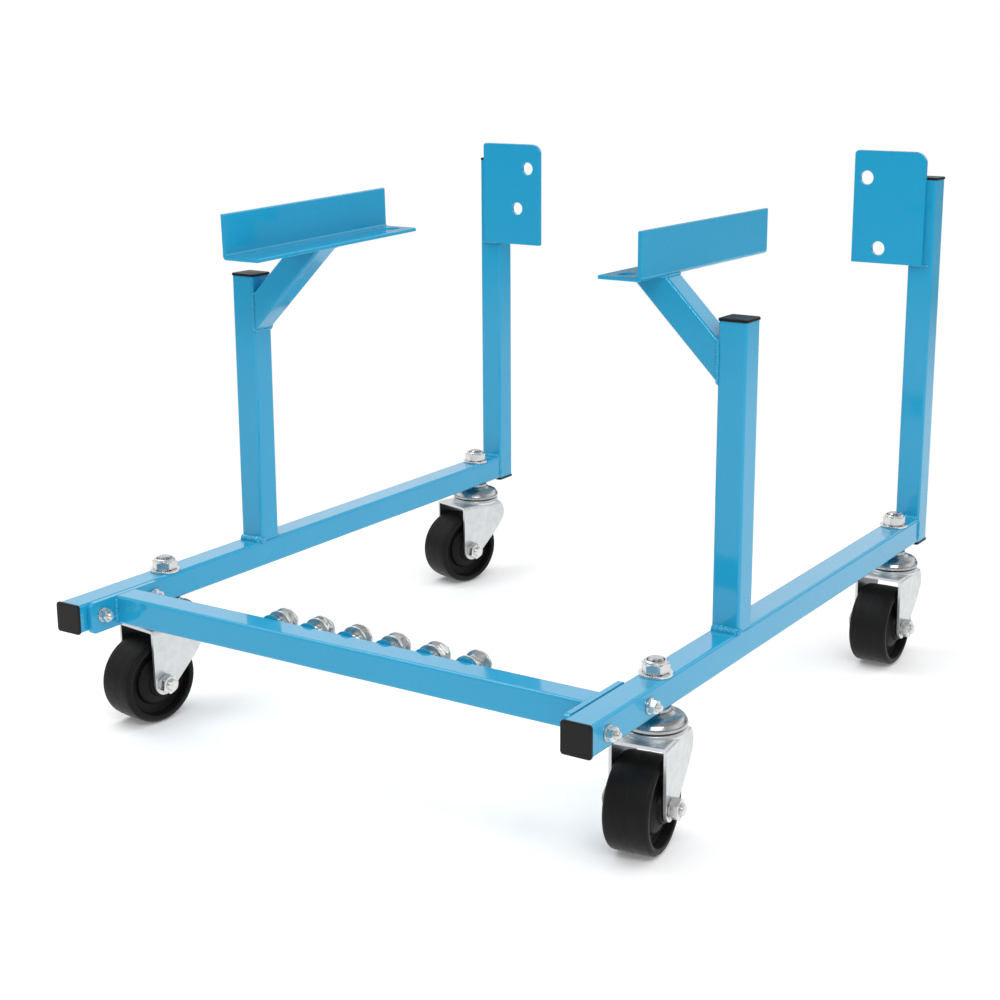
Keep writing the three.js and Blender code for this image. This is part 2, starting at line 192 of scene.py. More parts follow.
def plate(loops, z0, z1, b=0.5, n=3, b2=None):
    """Flat solid with rounded rims. The first loop runs counter-clockwise, holes are given the same way and turned round here."""
    b2 = b if b2 is None else b2
    L = [np.array(loops[0])] + [np.array(q)[::-1] for q in loops[1:]]
    steps = []
    for k in range(n + 1 if b > 0 else 1):
        a = k / n * PI / 2 if b > 0 else 0
        steps.append((b * (1 - math.sin(a)), z0 + b * (1 - math.cos(a))))
    for k in range(n + 1 if b2 > 0 else 1):
        a = PI / 2 - (k / n * PI / 2) if b2 > 0 else 0
        steps.append((b2 * (1 - math.sin(a)), z1 - b2 * (1 - math.cos(a))))
    verts, faces, base = [], [], []
    for ins, z in steps:
        row = []
        for q in L:
            row.append(len(verts))
            for p in inset(q, ins):
                verts.append((p[0], p[1], z))
        base.append(row)
    for s in range(len(steps) - 1):
        for li, q in enumerate(L):
            m = len(q)
            for i in range(m):
                j = (i + 1) % m
                faces.append((base[s][li] + i, base[s][li] + j, base[s + 1][li] + j, base[s + 1][li] + i))
    tri = tessellate_polygon([[Vector((p[0], p[1], 0)) for p in q] for q in L])
    idx = [(li, i) for li, q in enumerate(L) for i in range(len(q))]
    for s in (0, len(steps) - 1):
        for t in tri:
            a, b_, c = (idx[k] for k in t)
            faces.append((base[s][a[0]] + a[1], base[s][b_[0]] + b_[1], base[s][c[0]] + c[1]))
    return verts, faces


def turned(pts, seg=64, turn=0.0):
    """Revolves [radius, height] pairs about z. Points on the axis close to a pole."""
    pts = [tuple(p) for p in pts]
    ring = pts[0] == pts[-1]
    if ring:
        pts = pts[:-1]
    verts, rows = [], []
    for r, z in pts:
        if r < 1e-6:
            rows.append([len(verts)])
            verts.append((0, 0, z))
        else:
            rows.append(list(range(len(verts), len(verts) + seg)))
            for k in range(seg):
                a = turn + 2 * PI * k / seg
                verts.append((r * math.cos(a), r * math.sin(a), z))
    faces = []
    pairs = [(rows[i], rows[i + 1]) for i in range(len(rows) - 1)] + ([(rows[-1], rows[0])] if ring else [])
    for A, B in pairs:
        for k in range(seg):
            j = (k + 1) % seg
            if len(A) == 1 and len(B) == 1:
                continue
            if len(A) == 1:
                faces.append((A[0], B[k], B[j]))
            elif len(B) == 1:
                faces.append((A[k], A[j], B[0]))
            else:
                faces.append((A[k], A[j], B[j], B[k]))
    return verts, faces


def hexagon(af, z0, z1, turn=0.0, bore=0.0, bottom=True, top=True, per=8):
    """Hexagon with the usual turned chamfers."""
    n = 6 * per
    rc = af / 2 * 0.975
    th = [2 * PI * k / n for k in range(n)]
    rh = [(af / 2) / math.cos(((a + PI / 6) % (PI / 3)) - PI / 6) for a in [t + PI / 6 for t in th]]
    k30 = math.tan(PI / 6)
    rows = []
    rows.append([(rc if bottom else r, z0) for r in rh])
    if bottom:
        rows.append([(r, z0 + (r - rc) * k30) for r in rh])
    if top:
        rows.append([(r, z1 - (r - rc) * k30) for r in rh])
    rows.append([(rc if top else r, z1) for r in rh])
    verts, faces = [], []
    for row in rows:
        for (r, z), a in zip(row, th):
            verts.append((r * math.cos(a + turn), r * math.sin(a + turn), z))
    m = len(rows)
    if bore > 0:
        for z, r in ((z1 - 0.8, bore), (z0 + 0.0, bore)):
            for a in th:
                verts.append((r * math.cos(a + turn), r * math.sin(a + turn), z))
        for a in th:
            verts.append(((bore + 0.8) * math.cos(a + turn), (bore + 0.8) * math.sin(a + turn), z1))
        seq = list(range(m)) + [m + 2, m, m + 1]
    else:
        seq = list(range(m))
    for s in range(len(seq) - (0 if bore > 0 else 1)):
        A, B = seq[s], seq[(s + 1) % len(seq)]
        for k in range(n):
            j = (k + 1) % n
            faces.append((A * n + k, A * n + j, B * n + j, B * n + k))
    if bore <= 0:
        faces.append(tuple(range(n))[::-1])
        faces.append(tuple((m - 1) * n + k for k in range(n)))
    return verts, faces


def thread(r, z0, z1, pitch=1.5, depth=0.75, seg=36, tip=1.0, lead_in=False):
    """Screw thread cut into a shank of radius r, chamfered at z1."""
    rows = max(4, int(round((z1 - z0) / (pitch / 8))))
    verts, faces = [(0, 0, z0)], []
    for j in range(rows + 1):
        z = z0 + (z1 - z0) * j / rows
        cham = max(0.0, min(1.0, (z - (z1 - tip)) / tip)) if tip > 0 else 0.0
        for k in range(seg):
            a = 2 * PI * k / seg
            ph = (z / pitch - a / (2 * PI)) % 1.0
            tri = abs(2 * ph - 1)
            cut = depth * min(1.0, max(0.0, 1.25 * (1 - tri) - 0.12))
            rr = min(r - cut, r - cham * (depth + 0.25))
            verts.append((rr * math.cos(a), rr * math.sin(a), z))
    verts.append((0, 0, z1))
    for k in range(seg):
        faces.append((0, 1 + (k + 1) % seg, 1 + k))
    for j in range(rows):
        for k in range(seg):
            m = (k + 1) % seg
            a = 1 + j * seg
            faces.append((a + k, a + m, a + seg + m, a + seg + k))
    e = 1 + rows * seg
    for k in range(seg):
        faces.append((len(verts) - 1, e + k, e + (k + 1) % seg))
    return verts, faces


def hash01(*x):
    """Repeatable pseudo-random number from a few values."""
    h = 0.0
    for i, q in enumerate(x):
        h += math.sin(q * (12.9898 + 7.31 * i) + 4.1414 * i)
    h = math.sin(h * 437.5453) * 43758.5453
    return h - math.floor(h)


def bead(path, r=2.1, closed=False, seed=0.0, pitch=2.4, start_out=True):
    """A weld run: stacked, slightly uneven ripples along a path."""
    P = [np.array(p, float) for p in path]
    if closed:
        P.append(P[0])
    seglen = [np.linalg.norm(P[i + 1] - P[i]) for i in range(len(P) - 1)]
    total = sum(seglen)
    step = pitch / 6
    n = max(8, int(total / step))
    pts = []
    for i in range(n + (0 if closed else 1)):
        s = total * i / n
        k = 0
        while k < len(seglen) - 1 and s > seglen[k]:
            s -= seglen[k]
            k += 1
        pts.append(P[k] + (P[k + 1] - P[k]) * min(1.0, s / max(seglen[k], 1e-9)))
    pts = np.array(pts)
    if len(P) > 2:      # soften the corners
        for _ in range(4):
            q = pts.copy()
            if closed:
                q = (np.roll(pts, 1, 0) + pts * 2 + np.roll(pts, -1, 0)) / 4
            else:
                q[1:-1] = (pts[:-2] + pts[1:-1] * 2 + pts[2:]) / 4
            pts = q
    m, seg = len(pts), 10
    verts, faces = [], []
    up = np.array([0.31, 0.17, 0.93])
    for i in range(m):
        a = pts[(i + 1) % m] if (closed or i < m - 1) else pts[i]
        b = pts[i - 1] if (closed or i > 0) else pts[i]
        t = a - b
        t /= max(np.linalg.norm(t), 1e-9)
        u = np.cross(up, t)
        u /= max(np.linalg.norm(u), 1e-9)
        w = np.cross(t, u)
        s = i * step
        rip = ((s + 0.5 * hash01(seed, math.floor(s / pitch))) / pitch) % 1.0
        rr = r * (0.86 + 0.2 * math.sin(PI * rip) ** 0.7 + 0.12 * (hash01(seed, math.floor(s / pitch), 3.0) - 0.5))
        rr *= 0.92 + 0.16 * (0.5 + 0.5 * math.sin(s * 0.23 + seed * 5))
        if not closed:
            rr *= math.sqrt(max(0.02, 1 - max(0.0, 1 - i * step / 2.0) ** 2)) * math.sqrt(max(0.02, 1 - max(0.0, 1 - (m - 1 - i) * step / 2.0) ** 2))
        for k in range(seg):
            ang = 2 * PI * k / seg
            q = rr * (1 + 0.05 * (hash01(seed, i, k) - 0.5))
            p = pts[i] + u * (q * math.cos(ang)) + w * (q * math.sin(ang))
            verts.append(tuple(p))
    rows = m if closed else m - 1
    for i in range(rows):
        j = (i + 1) % m
        for k in range(seg):
            l = (k + 1) % seg
            faces.append((i * seg + k, i * seg + l, j * seg + l, j * seg + k))
    if not closed:
        faces.append(tuple(range(seg))[::-1])
        faces.append(tuple((m - 1) * seg + k for k in range(seg)))
    return verts, faces


# maps (u, v, w) with w the extrusion direction
def axes(o, u, v, w):
    M = Matrix.Identity(4)
    for i in range(3):
        M[i][0], M[i][1], M[i][2], M[i][3] = u[i], v[i], w[i], o[i]
    return M


ALONG_X = lambda o=(0, 0, 0): axes(o, (0, 1, 0), (0, 0, 1), (1, 0, 0))
ALONG_Y = lambda o=(0, 0, 0): axes(o, (1, 0, 0), (0, 0, 1), (0, 1, 0))
ALONG_Z = lambda o=(0, 0, 0): axes(o, (1, 0, 0), (0, 1, 0), (0, 0, 1))


def temp(shape):
    o = bpy.data.objects.new("tmp", mesh_of(shape, "tmp"))
    bpy.context.scene.collection.objects.link(o)
    return o


def carved(shape, cutters):
    """shape minus the cutters, as a new mesh."""
    o = temp(shape)
    cs = [temp(c) for c in cutters]
    for c in cs:
        m = o.modifiers.new("cut", "BOOLEAN")
        m.object, m.operation, m.solver = c, "DIFFERENCE", "EXACT"
    dg = bpy.context.evaluated_depsgraph_get()
    me = bpy.data.meshes.new_from_object(o.evaluated_get(dg))
    for q in [o] + cs:
        bpy.data.objects.remove(q)
    v = np.zeros(len(me.vertices) * 3)
    me.vertices.foreach_get("co", v)
    out = Shape()
    out.v = v.reshape(-1, 3) / S
    out.f = [tuple(p.vertices) for p in me.polygons]
    bpy.data.meshes.remove(me)
    return out if len(out.f) > 8 else shape


PIECES = {}


def piece(name, shape, body, mat, cad=(), M=None, angle=32.0, bevel=0.0, bseg=2):
    """One visible piece. M (mm) puts it in the frame, so that its own coordinates stay simple for its material."""
    me = mesh_of(shape, name, angle)
    o = bpy.data.objects.new(name, me)
    bpy.context.scene.collection.objects.link(o)
    if M is not None:
        W = Matrix(M)
        for i in range(3):
            W[i][3] *= S
        o.matrix_world = W
    if bevel > 0:
        m = o.modifiers.new("edge", "BEVEL")
        m.width, m.segments, m.limit_method = bevel * S, bseg, "ANGLE"
        m.angle_limit = math.radians(38)
        m.miter_outer = "MITER_ARC"
        dg = bpy.context.evaluated_depsgraph_get()
        new = bpy.data.meshes.new_from_object(o.evaluated_get(dg))
        o.modifiers.clear()
        o.data = new
        new.name = name
        smooth(new, 36)
    w = o.modifiers.new("even", "WEIGHTED_NORMAL")       # flat faces stay flat beside rounded edges
    w.mode, w.weight, w.keep_sharp = "FACE_AREA", 90, True
    dg = bpy.context.evaluated_depsgraph_get()
    new = bpy.data.meshes.new_from_object(o.evaluated_get(dg))
    o.modifiers.clear()
    o.data = new
    new.name = name
    o.data.materials.clear()
    o.data.materials.append(mat)
    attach(o, body)
    if cad:
        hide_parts(*([cad] if isinstance(cad, str) else cad))
    PIECES[name] = o
    return o


# ------------------------------------------------------------------ materials


def node(nt, kind, **kw):
    n = nt.nodes.new(kind)
    for k, v in kw.items():
        setattr(n, k, v)
    return n


class Mat:
    def __init__(self, name):
        self.m = bpy.data.materials.new(name)
        self.m.use_nodes = True
        self.nt = self.m.node_tree
        self.b = self.nt.nodes["Principled BSDF"]
        self.co = node(self.nt, "ShaderNodeTexCoord").outputs["Object"]
        self.bump_last = None

    def link(self, a, b):
        self.nt.links.new(a, b)

    def mapped(self, scale):
        n = node(self.nt, "ShaderNodeMapping")
        n.inputs["Scale"].default_value = scale
        self.link(self.co, n.inputs["Vector"])
        return n.outputs[0]

    def noise(self, scale, detail=3.0, rough=0.5, vec=None, distort=0.0):
        n = node(self.nt, "ShaderNodeTexNoise")
        n.inputs["Scale"].default_value = scale
        n.inputs["Detail"].default_value = detail
        n.inputs["Roughness"].default_value = rough
        n.inputs["Distortion"].default_value = distort
        self.link(vec or self.co, n.inputs["Vector"])
        return n.outputs[0]

    def remap(self, val, a, b, c, d):
        n = node(self.nt, "ShaderNodeMapRange")
        n.clamp = True
        self.link(val, n.inputs[0])
        for i, x in zip((1, 2, 3, 4), (a, b, c, d)):
            n.inputs[i].default_value = x
        return n.outputs[0]

    def math(self, op, a, b):
        n = node(self.nt, "ShaderNodeMath", operation=op)
        for i, x in ((0, a), (1, b)):
            if hasattr(x, "is_linked") or hasattr(x, "links"):
                self.link(x, n.inputs[i])
            else:
                n.inputs[i].default_value = x
        return n.outputs[0]

    def mix(self, fac, a, b):
        n = node(self.nt, "ShaderNodeMix", data_type="RGBA")
        if hasattr(fac, "links"):
            self.link(fac, n.inputs[0])
        else:
            n.inputs[0].default_value = fac
        for i, x in ((6, a), (7, b)):
            if hasattr(x, "links"):
                self.link(x, n.inputs[i])
            else:
                n.inputs[i].default_value = (*x, 1.0)
        return n.outputs[2]

    def bump(self, height, dist, strength=1.0):
        n = node(self.nt, "ShaderNodeBump")
        n.inputs["Strength"].default_value = strength
        n.inputs["Distance"].default_value = dist
        self.link(height, n.inputs["Height"])
        if self.bump_last is not None:
            self.link(self.bump_last, n.inputs["Normal"])
        self.bump_last = n.outputs[0]
        self.link(n.outputs[0], self.b.inputs["Normal"])
        return n.outputs[0]

    def set(self, name, v):
        s = self.b.inputs[name]
        if hasattr(v, "links"):
            self.link(v, s)
        elif hasattr(v, "__len__"):
            s.default_value = (*v, 1.0)
        else:
            s.default_value = v


BLUE_A, BLUE_B = (0.009, 0.288, 0.500), (0.011, 0.308, 0.530)


def blue_paint():
    m = Mat("blue_powder_coat")
    broad = m.noise(7.0, 3.0, 0.55)
    fine = m.noise(520.0, 2.0, 0.5)
    f = m.math("ADD", m.remap(broad, 0.3, 0.7, 0.0, 0.5), m.remap(fine, 0.3, 0.7, 0.0, 0.3))
    col = m.mix(f, BLUE_A, BLUE_B)
    speck = m.remap(m.noise(1700.0, 1.0, 0.4), 0.70, 0.76, 0.0, 0.35)      # tiny dust nibs in the coat
    col = m.mix(speck, col, (0.10, 0.40, 0.60))
    m.set("Base Color", col)
    m.set("Roughness", m.remap(m.noise(60.0, 4.0, 0.6), 0.3, 0.7, 0.26, 0.36))
    m.set("Specular IOR Level", 0.06)
    m.set("Coat Weight", 1.0)
    m.set("Coat IOR", 1.5)
    m.set("Coat Roughness", m.remap(m.noise(30.0, 3.0, 0.6), 0.3, 0.7, 0.04, 0.09))
    m.bump(m.noise(600.0, 2.0, 0.45), 0.00003, 0.18)                       # orange peel
    m.bump(m.noise(18.0, 2.0, 0.5), 0.0006, 0.02)                          # drawn tube isn't dead flat
    return m.m


def weld_paint():
    m = Mat("blue_powder_coat_weld")
    f = m.noise(300.0, 3.0, 0.6)
    m.set("Base Color", m.mix(m.remap(f, 0.3, 0.7, 0, 1), (0.010, 0.285, 0.485), (0.020, 0.33, 0.55)))
    m.set("Roughness", m.remap(f, 0.3, 0.7, 0.18, 0.32))
    m.set("Specular IOR Level", 0.1)
    m.set("Coat Weight", 1.0)
    m.set("Coat Roughness", 0.06)
    m.bump(m.noise(900.0, 4.0, 0.65), 0.00018, 0.6)
    return m.m


def cap_plastic():
    m = Mat("black_cap_plastic")
    f = m.noise(900.0, 3.0, 0.6)
    g = m.noise(55.0, 3.0, 0.6)
    m.set("Base Color", m.mix(m.remap(g, 0.35, 0.7, 0, 1), (0.0048, 0.0048, 0.0054), (0.0085, 0.0083, 0.009)))
    m.set("Roughness", m.remap(g, 0.3, 0.7, 0.34, 0.5))
    m.set("Specular IOR Level", 0.25)
    m.bump(f, 0.00009, 0.45)
    return m.m


def zinc():
    m = Mat("bright_zinc")
    g = m.noise(160.0, 4.0, 0.6)
    h = m.noise(48.0, 3.0, 0.6)
    c = m.mix(m.remap(g, 0.35, 0.68, 0, 1), (0.64, 0.65, 0.65), (0.86, 0.86, 0.84))
    c = m.mix(m.remap(h, 0.52, 0.75, 0.0, 0.22), c, (0.68, 0.65, 0.56))       # passivation tint
    m.set("Base Color", c)
    m.set("Metallic", 0.92)
    m.set("Roughness", m.remap(g, 0.3, 0.7, 0.22, 0.36))
    m.bump(m.noise(700.0, 3.0, 0.6), 0.00005, 0.5)
    return m.m


def zinc_satin():
    m = Mat("satin_zinc_sheet")
    g = m.noise(110.0, 4.0, 0.6)
    h = m.noise(30.0, 3.0, 0.55)
    v = m.mapped((1.0, 1.0, 9.0))
    streak = m.noise(240.0, 3.0, 0.6, v)
    c = m.mix(m.remap(g, 0.30, 0.74, 0, 1), (0.66, 0.69, 0.71), (0.79, 0.81, 0.81))
    c = m.mix(m.remap(h, 0.5, 0.75, 0.0, 0.22), c, (0.56, 0.62, 0.67))
    sep = node(m.nt, "ShaderNodeSeparateXYZ")
    m.link(m.co, sep.inputs[0])
    across = m.math("ABSOLUTE", sep.outputs[1], 0.0)
    # mask for the painted shade on the inside faces of the fork legs
    leg_inside_painted_shade = m.math("MULTIPLY", m.remap(across, 0.02145, 0.0217, 1.0, 0.0), m.remap(sep.outputs[2], (RAIL_Z - 22.6) * S, (RAIL_Z - 22.1) * S, 1.0, 0.0))
    c = m.mix(m.math("MULTIPLY", leg_inside_painted_shade, 0.85), c, (0.07, 0.07, 0.072))       # painted shade: the inside faces of the fork legs, between the legs and the wheel, darkened almost to black; partly a duller, dustier inside
    m.set("Base Color", c)
    m.set("Metallic", 0.92)
    m.set("Roughness", m.remap(streak, 0.3, 0.7, 0.30, 0.46))
    m.bump(m.noise(420.0, 4.0, 0.6), 0.00008, 0.4)
    m.bump(h, 0.0006, 0.08)
    return m.m


def cup_zinc():
    m = Mat("pressed_zinc_cup")
    g = m.noise(90.0, 3.0, 0.6)
    m.set("Base Color", m.mix(m.remap(g, 0.35, 0.7, 0, 1), (0.42, 0.43, 0.44), (0.58, 0.59, 0.60)))
    m.set("Metallic", 1.0)
    m.set("Roughness", m.remap(m.noise(260.0, 3.0, 0.6), 0.3, 0.7, 0.20, 0.30))
    m.bump(m.noise(500.0, 3.0, 0.6), 0.00005, 0.35)
    return m.m


def sleeve_steel():
    m = Mat("plain_steel_sleeve")
    v = m.mapped((1.0, 1.0, 14.0))
    g = m.noise(300.0, 3.0, 0.6, v)
    m.set("Base Color", m.mix(m.remap(g, 0.3, 0.7, 0, 1), (0.36, 0.36, 0.36), (0.52, 0.52, 0.51)))
    m.set("Metallic", 1.0)
    m.set("Roughness", m.remap(g, 0.3, 0.7, 0.28, 0.45))
    m.bump(g, 0.00004, 0.4)
    return m.m


def wheel_black():
    m = Mat("black_moulded_wheel")
    sep = node(m.nt, "ShaderNodeSeparateXYZ")
    m.link(m.co, sep.inputs[0])
    g = m.noise(210.0, 4.0, 0.62)
    b = m.noise(28.0, 3.0, 0.55)
    col = m.mix(m.remap(b, 0.3, 0.72, 0, 1), (0.0045, 0.0045, 0.005), (0.0095, 0.009, 0.009))
    dust = m.remap(g, 0.60, 0.80, 0.0, 0.12)
    col = m.mix(dust, col, (0.06, 0.057, 0.052))
    m.set("Base Color", col)
    m.set("Roughness", m.remap(g, 0.3, 0.7, 0.40, 0.58))
    m.set("Specular IOR Level", 0.15)
    # faint turning marks round the axle
    r = m.math("SQRT", m.math("ADD", m.math("MULTIPLY", sep.outputs[0], sep.outputs[0]), m.math("MULTIPLY", sep.outputs[1], sep.outputs[1])), 0.0)
    wave = m.math("SINE", m.math("MULTIPLY", m.math("ADD", r, sep.outputs[2]), 5200.0), 0.0)
    m.bump(wave, 0.00003, 0.35)
    m.bump(g, 0.00010, 0.4)
    return m.m


BLUE, WELD, BLACK, ZINC, SATIN, CUP, SLEEVE, WHEEL = (
    blue_paint(), weld_paint(), cap_plastic(), zinc(), zinc_satin(), cup_zinc(), sleeve_steel(), wheel_black())

# ------------------------------------------------------------------ square tube parts
OUT = rect(T, T, TUBE_R, 7)
INN = rect(T - 2 * WALL, T - 2 * WALL, 0.9, 7)


def tube(z0, z1):
    return plate([OUT, INN], z0, z1, 0.25, 2)


def cyl(r, z0, z1, seg=40):
    return turned([(0, z0), (r, z0), (r, z1), (0, z1)], seg)


STEM_Y = {"left": [joints[k]["pos_m"][1] * 1000 for k in ("swivel_fl", "swivel_rl")],
          "right": [joints[k]["pos_m"][1] * 1000 for k in ("swivel_fr", "swivel_rr")]}

for side, sx in (("left", -1), ("right", 1)):
    X = sx * RAIL_X
    rail = Shape(tube(railR[0][1], RAIL_END), ALONG_Y((X, 0, RAIL_Z + T / 2)))
    cut = [Shape(cyl(7.3, RAIL_Z - 5, RAIL_Z + T + 5), ALONG_Z((X, y, 0))) for y in STEM_Y[side]]
    cut += [Shape(cyl(3.4, X - T, X + T), ALONG_X((0, BEAM_Y + d, BEAM_Z))) for d in BEAM_BOLT.values()]
    piece("rail_tube_" + side, carved(rail, cut), "stand_frame", BLUE, "rail_" + side)
    piece("mid_post_tube_" + side, Shape(tube(RAIL_Z + T, POST_TOP - CAP), ALONG_Z((X, POST_Y, 0))), "stand_frame", BLUE, "mid_post_" + side)
    piece("rear_post_tube_" + side, Shape(tube(RAIL_Z, REAR_TOP - CAP), ALONG_Z((X, REAR_Y, 0))), "stand_frame", BLUE, "rear_post_" + side)

    # mount angle: rolled L section with a slot
    sec = fillet([(0, 0), (ANG_LEG, 0), (ANG_LEG, ANG_T), (ANG_T, ANG_T), (ANG_T, ANG_LEG + 0.7), (0, ANG_LEG + 0.7)],
                 [3.4, 0.5, 1.3, 2.6, 1.3, 0.5], 6)
    L = Shape(plate([sec], -ANG_LEN / 2, ANG_LEN / 2, 0.35, 2), axes((0, 0, 0), (1, 0, 0), (0, 0, 1), (0, 1, 0)))
    slot = rect(SLOT_W, SLOT_L, SLOT_W / 2 - 0.01, 12)
    L = carved(L, [Shape(plate([slot], -6, 10, 0), ALONG_Z((SLOT_IN, ANG_LEN / 2 - SLOT_END, 0)))])
    tilt = ANG_TILT if side == "left" else 0.0
    place = Matrix.Translation((sx * ANG_OUT, ANG_YC[side], ANG_Z)) @ Matrix.Rotation(tilt, 4, "X") @ (
        Matrix.Rotation(PI, 4, "Z") if side == "right" else Matrix.Identity(4))
    piece("angle_" + side, Shape(L, place), "stand_frame", BLUE, "mount_angle_" + side)

    # 45 degree brace, cut to the post face and to the underside of the angle
    k = math.sqrt(0.5)
    a = np.array([-sx * k, 0, k])
    vv = np.array([sx * k, 0, k])
    uu = np.array([0, 1.0, 0])
    o = np.array([sx * 210.0, POST_Y, BRACE_SUM - 210.0])
    pl0 = (np.array([sx * (RAIL_X - T / 2 - 0.02), 0, 0]), np.array([sx, 0, 0]))
    pl1 = (np.array([0, ANG_YC[side], ANG_Z - 0.02]), np.array([0, -math.sin(tilt), math.cos(tilt)]))
    verts, faces = [], []
    for loop in (OUT, INN):
        for P, nrm in (pl0, pl1):
            for q in loop:
                p = o + uu * q[0] + vv * q[1]
                s = ((P - p) @ nrm) / (a @ nrm)
                verts.append(tuple(p + a * s))
    n = len(OUT)
    for i in range(n):
        j = (i + 1) % n
        faces += [(i, j, n + j, n + i), (2 * n + j, 2 * n + i, 3 * n + i, 3 * n + j),
                  (j, i, 2 * n + i, 2 * n + j), (n + i, n + j, 3 * n + j, 3 * n + i)]
    piece("brace_tube_" + side, Shape((verts, faces)), "stand_frame", BLUE, "brace_" + side)
    lo_ring = [np.array(v) for v in verts[:n]]
    hi_ring = [np.array(v) for v in verts[n:2 * n]]

    # bell-housing plate
    b0, b1 = mmbox("bell_plate_" + side)
    w, h = b1[0] - b0[0], b1[2] - b0[2]
    cx, cz = (b0[0] + b1[0]) / 2, (b0[2] + b1[2]) / 2
    outer = rect(w, h, [10, 3.5, 0.8, 0.8] if side == "left" else [11, 4, 0.8, 0.8], 8, cx, cz)
    base_z = b0[2]
    holes = [(-204.6, base_z + 85.5), (-218.4, base_z + 40.4)] if side == "left" else [(200.3, base_z + 85.2), (215.2, base_z + 15.1)]
    pls = plate([outer] + [circle(7.0, 56, hx, hz) for hx, hz in holes], b0[1], b1[1], 0.55, 3)
    piece("bell_plate_flat_" + side, Shape(pls, ALONG_Y()), "stand_frame", BLUE, "bell_plate_" + side)

    # weld runs
    def ring(cx_, cy_, z, half=T / 2):
        return [(cx_ + half * i, cy_ + half * j, z) for i, j in ((-1, -1), (0, -1), (1, -1), (1, 0), (1, 1), (0, 1), (-1, 1), (-1, 0))]
    sd = 1.7 if side == "left" else 6.3
    W = Shape(bead([(X - T / 2 + 0.5, POST_Y - T / 2 - 0.4, RAIL_Z + T + 0.6), (X + T / 2 - 0.5, POST_Y - T / 2 - 0.4, RAIL_Z + T + 0.6)], 4.1, seed=sd, pitch=4.1))
    W.add(bead([(X + T / 2 - 5.0, POST_Y - T / 2 - 0.6, RAIL_Z + T + 0.8), (X + T / 2 - 0.2, POST_Y - T / 2 + 0.2, RAIL_Z + T + 1.2), (X + T / 2 - 0.2, POST_Y - T / 2 + 4.5, RAIL_Z + T + 0.4)], 3.0, seed=sd + 0.4, pitch=3.4))
    W.add(bead([(X - T / 2 + 1.0, POST_Y + T / 2, RAIL_Z + T), (X + T / 2 - 1.0, POST_Y + T / 2, RAIL_Z + T)], 2.9, seed=sd + 1, pitch=3.0))
    piece("weld_mid_post_" + side, W, "stand_frame", WELD)
    W = Shape(bead([p for p in lo_ring[::2]], 1.6, True, sd + 2))
    piece("weld_brace_foot_" + side, W, "stand_frame", WELD)
    W = Shape(bead([p for p in hi_ring[::2]], 1.5, True, sd + 3))
    piece("weld_brace_head_" + side, W, "stand_frame", WELD)
    zc = RAIL_Z + T / 2
    W = Shape(bead([(X - T / 2 + 1.5, RAIL_END, RAIL_Z + T - 0.2), (X + T / 2 - 1.5, RAIL_END, RAIL_Z + T - 0.2)], 3.3, seed=sd + 4, pitch=3.2))
    for q in (-1, 1):
        W.add(bead([(X + q * (T / 2 - 0.5), RAIL_END, RAIL_Z + 2.5), (X + q * (T / 2 - 0.5), RAIL_END, RAIL_Z + T - 1.0)], 2.1, seed=sd + 5 + q))
    piece("weld_rail_end_" + side, W, "stand_frame", WELD)
    W = Shape()
    zt = min(REAR_TOP - CAP, b1[2]) - 6
    xi = sx * (RAIL_X - T / 2 + 0.7)
    for i, (z_a, z_b) in enumerate(((base_z + 5, base_z + 34), (zt - 34, zt - 2))):
        W.add(bead([(xi, RAIL_END + 0.6, z_a), (xi, RAIL_END + 0.6, z_b)], 2.3, seed=sd + 8 + i))
    W.add(bead([(X - T / 2 + 3, RAIL_END + 0.2, base_z), (X + T / 2 - 3, RAIL_END + 0.2, base_z)], 1.5, seed=sd + 11))
    piece("weld_bell_plate_" + side, W, "stand_frame", WELD)

    # plastic plugs
    def plug(name, M, cad, mark=False, flush=False):
        cw = CAP_W - 0.1
        lip = rect(cw, cw, 3.0, 6) if not flush else rect(cw, (cw + T) / 2 - 0.05, 2.8, 6, 0, (cw - T) / 4)
        s = Shape(plate([lip], 0.02, CAP, 0.25, 2, b2=0.95))
        skirt = plate([rect(20.4, 20.4, 1.2, 4), rect(16.8, 16.8, 0.8, 4)], -9, 0.3, 0.2, 1)
        s.add(skirt)
        if mark:
            s.add(turned([(0, CAP + 0.55), (0.7, CAP + 0.45), (1.15, CAP + 0.05), (1.15, CAP - 0.4), (0, CAP - 0.4)], 20), Matrix.Translation((2.6, -8.2, 0)))
            s.add(turned([(0, CAP + 0.14), (0.35, CAP + 0.10), (0.6, CAP), (0.6, CAP - 0.4), (0, CAP - 0.4)], 16), Matrix.Translation((3.2, 4.9, 0)))
        piece(name, Shape(s, M), "stand_frame", BLACK, cad)
    plug("plug_rail_" + side, axes((X, railR[0][1], RAIL_Z + T / 2), (1, 0, 0), (0, 0, 1), (0, -1, 0)), "cap_rail_" + side, True)
    plug("plug_mid_post_" + side, ALONG_Z((X, POST_Y, POST_TOP - CAP)), "cap_mid_post_" + side)
    plug("plug_rear_top_" + side, ALONG_Z((X, REAR_Y, REAR_TOP - CAP)), "cap_rear_top_" + side, flush=True)
    plug("plug_rear_foot_" + side, axes((X, REAR_Y, RAIL_Z), (1, 0, 0), (0, -1, 0), (0, 0, -1)), "cap_rear_foot_" + side)

